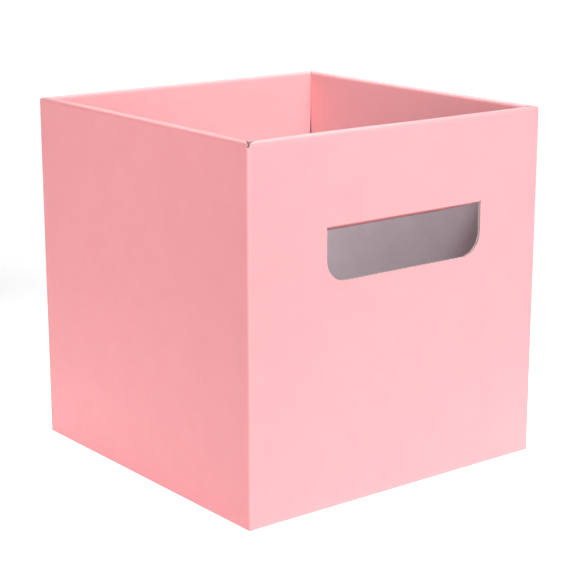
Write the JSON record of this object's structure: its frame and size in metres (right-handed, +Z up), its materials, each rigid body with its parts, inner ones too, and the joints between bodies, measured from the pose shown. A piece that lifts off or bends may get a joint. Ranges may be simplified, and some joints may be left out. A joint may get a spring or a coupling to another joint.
{
  "type": "flower box",
  "caption": "Open-topped cube box of folded pink board for a bouquet, with turned-in rims, a hand hole front and back with pushed-in tabs, and a self-locking flap base.",
  "frame": {"origin": "centre of the base, on the surface that the box stands on", "axes": "+Z up through the open mouth, -Y towards the front wall with the shifted hand hole, +X to the right as seen from the front"},
  "size_m": [0.19, 0.19, 0.19],
  "materials": {
    "printed_board": "satin pink print on fluted board",
    "unprinted_board": "matt grey unprinted board"
  },
  "bodies": {
    "walls": {"front_wall": "printed_board", "right_wall": "printed_board", "back_wall": "printed_board", "left_wall": "printed_board", "glue_flap": "unprinted_board"},
    "front_rim": {"front_rim": "printed_board"},
    "front_hem": {"front_hem": "printed_board"},
    "right_rim": {"right_rim": "printed_board"},
    "right_hem": {"right_hem": "printed_board"},
    "back_rim": {"back_rim": "printed_board"},
    "back_hem": {"back_hem": "printed_board"},
    "left_rim": {"left_rim": "printed_board"},
    "left_hem": {"left_hem": "printed_board"},
    "front_hand_tab": {"front_hand_tab": "printed_board"},
    "back_hand_tab": {"back_hand_tab": "printed_board"},
    "base_front": {"base_front_flap": "printed_board"},
    "base_back": {"base_back_flap": "printed_board", "base_tongue": "printed_board"},
    "base_right": {"base_right_flap": "printed_board"},
    "base_left": {"base_left_flap": "printed_board"}
  },
  "joints": [
    {"name": "front_rim_fold", "type": "hinge", "parent": "walls", "child": "front_rim", "pos_m": [0, -0.095, 0.19], "axis": [1, 0, 0], "range_deg": [0, 90]},
    {"name": "front_hem_fold", "type": "hinge", "parent": "front_rim", "child": "front_hem", "pos_m": [0, -0.089, 0.19], "axis": [1, 0, 0], "range_deg": [0, 90]},
    {"name": "right_rim_fold", "type": "hinge", "parent": "walls", "child": "right_rim", "pos_m": [0.095, 0, 0.19], "axis": [0, 1, 0], "range_deg": [0, 90]},
    {"name": "right_hem_fold", "type": "hinge", "parent": "right_rim", "child": "right_hem", "pos_m": [0.089, 0, 0.19], "axis": [0, 1, 0], "range_deg": [0, 90]},
    {"name": "back_rim_fold", "type": "hinge", "parent": "walls", "child": "back_rim", "pos_m": [0, 0.095, 0.19], "axis": [-1, 0, 0], "range_deg": [0, 90]},
    {"name": "back_hem_fold", "type": "hinge", "parent": "back_rim", "child": "back_hem", "pos_m": [0, 0.089, 0.19], "axis": [-1, 0, 0], "range_deg": [0, 90]},
    {"name": "left_rim_fold", "type": "hinge", "parent": "walls", "child": "left_rim", "pos_m": [-0.095, 0, 0.19], "axis": [0, -1, 0], "range_deg": [0, 90]},
    {"name": "left_hem_fold", "type": "hinge", "parent": "left_rim", "child": "left_hem", "pos_m": [-0.089, 0, 0.19], "axis": [0, -1, 0], "range_deg": [0, 90]},
    {"name": "front_hand_tab_swing", "type": "hinge", "parent": "walls", "child": "front_hand_tab", "pos_m": [0, -0.095, 0.1445], "axis": [-1, 0, 0], "range_deg": [-37, 73]},
    {"name": "back_hand_tab_swing", "type": "hinge", "parent": "walls", "child": "back_hand_tab", "pos_m": [0, 0.095, 0.1445], "axis": [1, 0, 0], "range_deg": [-37, 73]},
    {"name": "base_front_fold", "type": "hinge", "parent": "walls", "child": "base_front", "pos_m": [0, -0.095, 0], "axis": [-1, 0, 0], "range_deg": [0, 90]},
    {"name": "base_back_fold", "type": "hinge", "parent": "walls", "child": "base_back", "pos_m": [0, 0.095, 0], "axis": [1, 0, 0], "range_deg": [0, 90]},
    {"name": "base_right_lift", "type": "hinge", "parent": "walls", "child": "base_right", "pos_m": [0.0932, 0, 0.0033], "axis": [0, 1, 0], "range_deg": [0, 85]},
    {"name": "base_left_lift", "type": "hinge", "parent": "walls", "child": "base_left", "pos_m": [-0.0932, 0, 0.0033], "axis": [0, -1, 0], "range_deg": [0, 85]}
  ],
  "couplings": [
    {"joint": "front_hem_fold", "follows": "front_rim_fold", "ratio": 1},
    {"joint": "right_hem_fold", "follows": "right_rim_fold", "ratio": 1},
    {"joint": "back_hem_fold", "follows": "back_rim_fold", "ratio": 1},
    {"joint": "left_hem_fold", "follows": "left_rim_fold", "ratio": 1}
  ]
}
